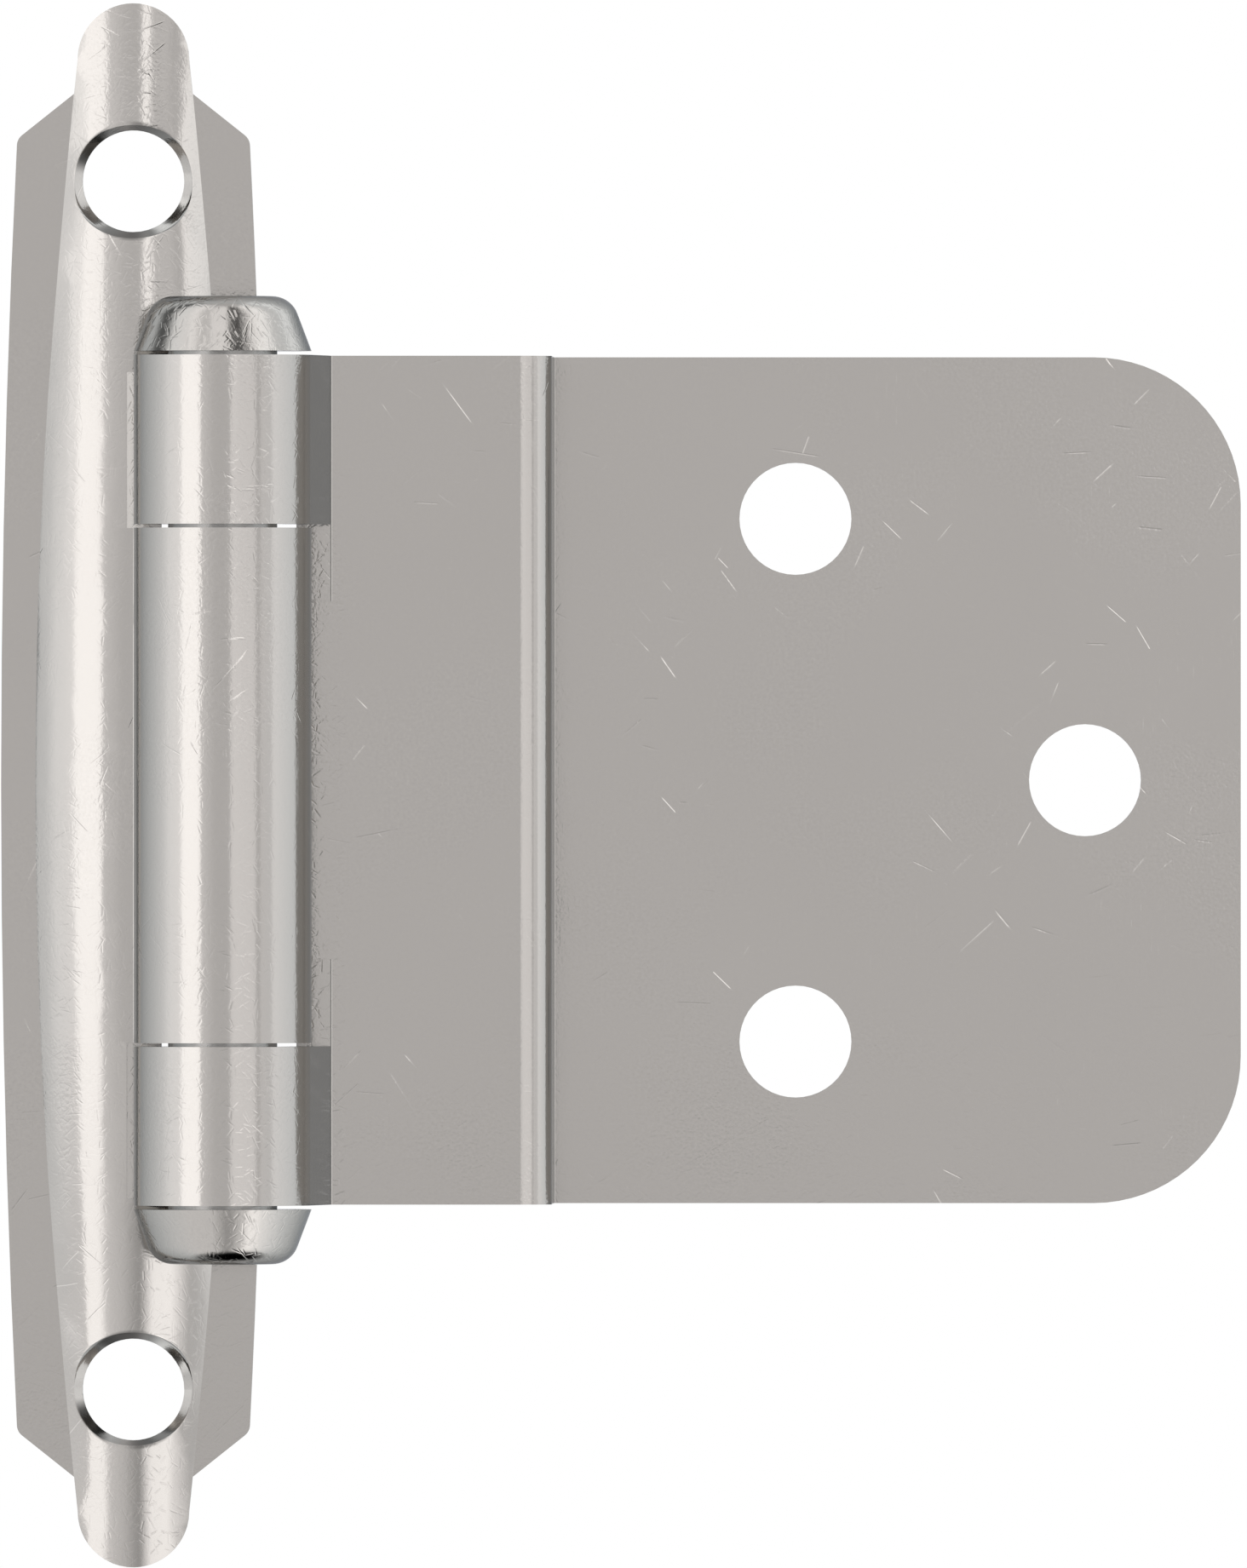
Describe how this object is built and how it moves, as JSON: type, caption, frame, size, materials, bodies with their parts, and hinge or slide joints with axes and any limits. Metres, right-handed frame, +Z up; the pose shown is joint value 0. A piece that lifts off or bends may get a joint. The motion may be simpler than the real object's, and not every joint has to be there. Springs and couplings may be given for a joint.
{
  "type": "self-closing cabinet hinge",
  "caption": "Face-mounted self-closing cabinet hinge with a ribbed frame wing, rolled knuckles, capped pin and an offset leaf for a lipped door.",
  "frame": {"origin": "midway between the frame wing's two screw holes, on the flat back that lies against the cabinet frame", "axes": "+X across the hinge towards the door, +Y into the cabinet, -Y towards the viewer, +Z up along the pin"},
  "size_m": [0.0555, 0.0195, 0.0698],
  "materials": {
    "satin_nickel_wing": "satin nickel plate on stamped steel",
    "satin_nickel_leaf": "satin nickel plate on folded steel",
    "bright_nickel": "polished satin nickel plate on turned steel",
    "plain_steel": "turned steel",
    "spring_steel": "drawn spring wire"
  },
  "bodies": {
    "frame": {"frame_wing": "satin_nickel_wing", "torsion_spring": "spring_steel"},
    "leaf": {"door_leaf": "satin_nickel_leaf", "hinge_pin": "plain_steel", "upper_bush": "plain_steel", "lower_bush": "plain_steel", "upper_cap": "bright_nickel", "lower_cap": "bright_nickel"}
  },
  "joints": [
    {"name": "leaf_swing", "type": "hinge", "parent": "frame", "child": "leaf", "pos_m": [0.00402, -0.0062, 0], "axis": [0, 0, -1], "range_deg": [0, 180], "stiffness_Nm_per_rad": 0.08, "springref_deg": -34.38, "deforming": ["torsion_spring"]}
  ]
}
